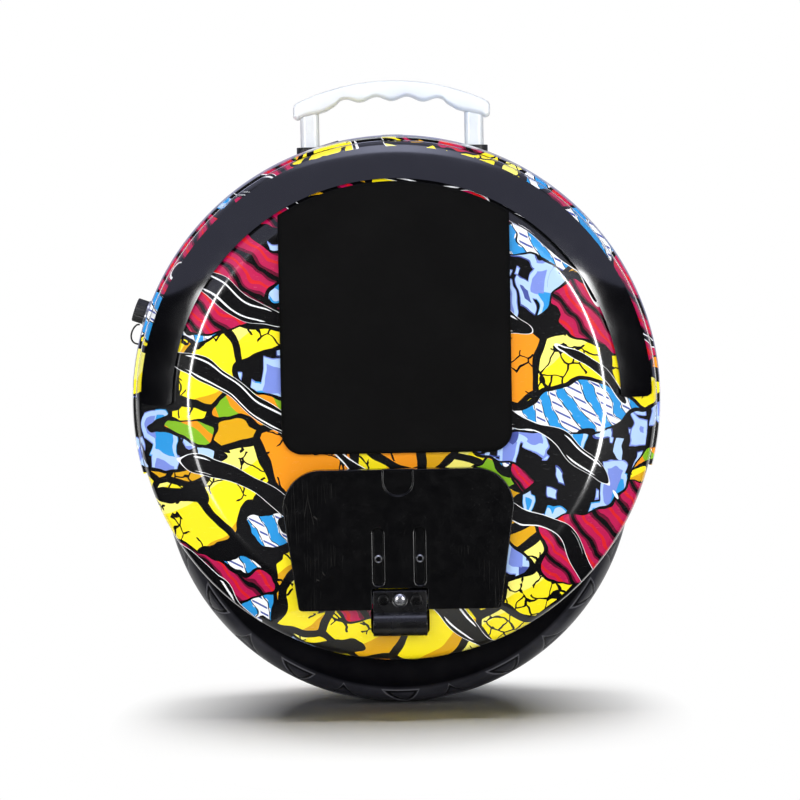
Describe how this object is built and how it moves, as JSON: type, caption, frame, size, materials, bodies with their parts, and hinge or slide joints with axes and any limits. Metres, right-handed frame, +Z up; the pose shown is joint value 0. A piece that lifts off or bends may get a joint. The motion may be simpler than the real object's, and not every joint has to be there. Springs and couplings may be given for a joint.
{
  "type": "electric unicycle",
  "caption": "Self-balancing one-wheeled personal vehicle with printed round side shells, folding pedals, leg pads, light arcs and a telescopic carrying handle.",
  "frame": {"origin": "on the ground under the centre of the wheel", "axes": "+Z up, +X forward with the charge socket behind, +Y to the rider's left; the wheel's axle lies along Y"},
  "size_m": [0.3984, 0.1858, 0.472],
  "materials": {
    "printed_wrap": "glossy print of flat colours on black",
    "smoked_cover": "smoked, polished",
    "light_lens": "clear lens",
    "black_plastic": "fine grain",
    "pad_foam": "soft matt foam",
    "black_cast_metal": "satin black paint",
    "pedal_rubber": "matt, ribbed",
    "steel": "bright",
    "black_screw": "black oxide",
    "bare_aluminium": "bare, machined",
    "guide_steel": "bare, drawn",
    "tyre_rubber": "matt",
    "tube_rubber": "matt",
    "copper": "enamelled copper windings and laminations",
    "battery_wrap": "shrink wrap",
    "board_green": "lacquered board",
    "pearl_grip": "pearl white, satin",
    "pearl_tube": "pearl white paint, satin"
  },
  "bodies": {
    "chassis": {"shell_right": "printed_wrap", "shell_left": "printed_wrap", "top_band": "printed_wrap", "wheel_arch": "black_plastic", "side_plate_right": "black_plastic", "side_plate_left": "black_plastic", "light_cover_right": "smoked_cover", "light_cover_left": "smoked_cover", "light_strip_right": "light_lens", "light_strip_left": "light_lens", "battery_gauge": "light_lens", "collar_front": "black_plastic", "collar_rear": "black_plastic", "tube_clamp": "black_plastic", "lanyard": "black_plastic", "leg_pad_right": "pad_foam", "leg_pad_left": "pad_foam", "pedal_hanger_right": "black_cast_metal", "pedal_hanger_left": "black_cast_metal", "axle": "steel", "axle_nut_right": "steel", "axle_nut_left": "steel", "charge_socket": "steel", "detent_screw_right": "steel", "detent_screw_left": "steel", "pin_screw_right_front": "black_screw", "pin_screw_right_rear": "black_screw", "pin_screw_left_front": "black_screw", "pin_screw_left_rear": "black_screw", "heat_sink": "bare_aluminium", "guide_tube_front": "guide_steel", "guide_tube_rear": "guide_steel", "stator": "copper", "battery_front": "battery_wrap", "battery_rear": "battery_wrap", "control_board": "board_green"},
    "wheel": {"tyre": "tyre_rubber", "inner_tube": "tube_rubber", "hub_rim": "bare_aluminium", "motor_cover_right": "bare_aluminium", "motor_cover_left": "bare_aluminium", "magnet_ring": "steel", "bearing_right": "steel", "bearing_left": "steel"},
    "pedal_right": {"pedal_right": "black_cast_metal", "pedal_mat_right": "pedal_rubber", "hinge_pin_right": "steel", "pedal_magnet_right": "steel"},
    "pedal_left": {"pedal_left": "black_cast_metal", "pedal_mat_left": "pedal_rubber", "hinge_pin_left": "steel", "pedal_magnet_left": "steel"},
    "handle_mid": {"mid_tube_front": "bare_aluminium", "mid_tube_rear": "bare_aluminium"},
    "handle": {"grip": "pearl_grip", "handle_tube_front": "pearl_tube", "handle_tube_rear": "pearl_tube"},
    "release_key": {"release_button": "black_plastic"},
    "power_key": {"power_button": "steel"},
    "cap": {"charge_cap": "black_plastic"}
  },
  "joints": [
    {"name": "wheel_spin", "type": "hinge", "parent": "chassis", "child": "wheel", "pos_m": [0, 0, 0.1775], "axis": [0, 1, 0], "continuous": true},
    {"name": "pedal_right_fold", "type": "hinge", "parent": "chassis", "child": "pedal_right", "pos_m": [0, -0.08215, 0.0884], "axis": [1, 0, 0], "range_deg": [0, 85]},
    {"name": "pedal_left_fold", "type": "hinge", "parent": "chassis", "child": "pedal_left", "pos_m": [0, 0.08215, 0.0884], "axis": [-1, 0, 0], "range_deg": [0, 85]},
    {"name": "mid_slide", "type": "slide", "parent": "chassis", "child": "handle_mid", "axis": [0, 0, 1], "range_m": [0, 0.2]},
    {"name": "handle_slide", "type": "slide", "parent": "handle_mid", "child": "handle", "axis": [0, 0, 1], "range_m": [0, 0.2]},
    {"name": "release_press", "type": "slide", "parent": "handle", "child": "release_key", "axis": [0, 0, -1], "range_m": [0, 0.002], "stiffness_N_per_m": 300, "springref_m": -0.002},
    {"name": "power_press", "type": "slide", "parent": "chassis", "child": "power_key", "axis": [0, 0, -1], "range_m": [0, 0.002], "stiffness_N_per_m": 300, "springref_m": -0.002},
    {"name": "cap_pull", "type": "slide", "parent": "chassis", "child": "cap", "axis": [-0.9415, 0, 0.3371], "range_m": [0, 0.012]}
  ]
}
